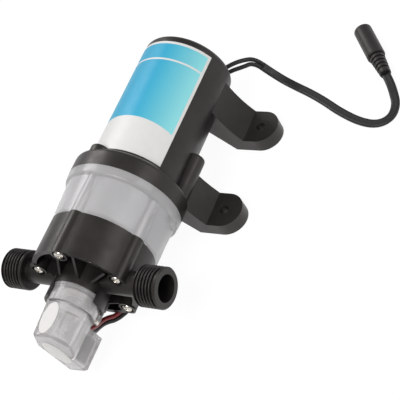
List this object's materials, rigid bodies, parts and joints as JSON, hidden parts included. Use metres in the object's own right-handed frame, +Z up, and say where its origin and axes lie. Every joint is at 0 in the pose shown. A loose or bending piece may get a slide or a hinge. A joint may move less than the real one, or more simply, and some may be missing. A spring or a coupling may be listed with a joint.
{
  "type": "diaphragm water pump",
  "caption": "Small electric diaphragm pump on four feet, with threaded side ports, a clear drive housing, a pressure switch on its head and a short lead with a round in-line socket.",
  "frame": {"origin": "centre of the four foot holes, on the plane that the feet stand on", "axes": "+Z up away from the mounting surface, pump axis along Y with the pump head toward -Y, the ports along X"},
  "size_m": [0.1611, 0.2315, 0.0677],
  "materials": {
    "cover_plastic": "satin",
    "label": "printed film",
    "screw_steel": "nickel plated",
    "clear_plastic": "milky clear",
    "head_plastic": "satin",
    "rubber": "matte",
    "grey_plastic": "satin",
    "can_steel": "zinc plated",
    "inner_plastic": "satin",
    "bronze": "sintered",
    "magnet": "sintered ferrite",
    "carbon": "carbon",
    "brass_strip": "rolled",
    "shaft_steel": "ground",
    "core_steel": "laminated",
    "copper": "enamelled",
    "bearing_steel": "polished",
    "white_plastic": "satin",
    "switch_plastic": "milky clear",
    "sticker": "matte",
    "red_wire": "satin",
    "black_wire": "satin",
    "jack_plastic": "satin"
  },
  "bodies": {
    "pump": {"motor_cover": "cover_plastic", "motor_label": "label", "cover_screws": "screw_steel", "eccentric_housing": "clear_plastic", "pump_head": "head_plastic", "head_screws": "screw_steel", "diaphragm": "rubber", "valve_plate": "grey_plastic", "inlet_valves": "rubber", "outlet_valve": "rubber", "head_gasket": "rubber", "motor_can": "can_steel", "motor_end_cap": "inner_plastic", "front_bush": "bronze", "rear_bush": "bronze", "motor_magnets": "magnet", "brushes": "carbon", "brush_arms": "brass_strip", "motor_screws": "screw_steel", "switch_neck": "switch_plastic", "switch_screw": "screw_steel", "switch_seal": "rubber", "switch_cap": "switch_plastic", "microswitch_body": "inner_plastic", "pressure_spring": "shaft_steel", "switch_stickers": "sticker", "switch_wire_red": "red_wire", "switch_wire_black": "black_wire", "wire_splices": "grey_plastic", "inner_leads": "black_wire", "lead_wire_a": "black_wire", "lead_wire_b": "black_wire", "power_lead": "black_wire", "jack_body": "jack_plastic", "jack_sleeve": "screw_steel", "jack_pin": "screw_steel"},
    "rotor": {"motor_shaft": "shaft_steel", "armature_core": "core_steel", "armature_windings": "copper", "commutator": "copper", "eccentric_hub": "shaft_steel", "hub_grub_screw": "screw_steel", "bearing_inner_ring": "bearing_steel"},
    "ball_cage": {"bearing_balls": "bearing_steel", "bearing_cage": "inner_plastic"},
    "wobbler": {"bearing_outer_ring": "bearing_steel", "wobble_plate": "white_plastic", "piston_pads": "white_plastic", "piston_screws": "screw_steel"},
    "switch_plunger": {"plunger": "white_plastic"},
    "switch_button": {"microswitch_button": "white_plastic"}
  },
  "joints": [
    {"name": "rotor_spin", "type": "hinge", "parent": "pump", "child": "rotor", "pos_m": [0, 0, 0.0365], "axis": [0, 1, 0], "continuous": true},
    {"name": "wobble_turn", "type": "hinge", "parent": "rotor", "child": "wobbler", "pos_m": [0, -0.0602, 0.0365], "axis": [0, 0.9962, 0.0872], "continuous": true, "deforming": ["diaphragm"]},
    {"name": "cage_turn", "type": "hinge", "parent": "rotor", "child": "ball_cage", "pos_m": [0, -0.0602, 0.0365], "axis": [0, 0.9962, 0.0872], "continuous": true},
    {"name": "plunger_slide", "type": "slide", "parent": "pump", "child": "switch_plunger", "axis": [0, -1, 0], "range_m": [0, 0.0012], "stiffness_N_per_m": 2500, "deforming": ["pressure_spring"]},
    {"name": "button_slide", "type": "slide", "parent": "pump", "child": "switch_button", "axis": [0.1564, 0, -0.9877], "range_m": [0, 0.0004]}
  ],
  "couplings": [
    {"joint": "wobble_turn", "follows": "rotor_spin", "ratio": -1},
    {"joint": "cage_turn", "follows": "rotor_spin", "ratio": -0.61111},
    {"joint": "button_slide", "follows": "plunger_slide", "ratio": 0.33333}
  ]
}
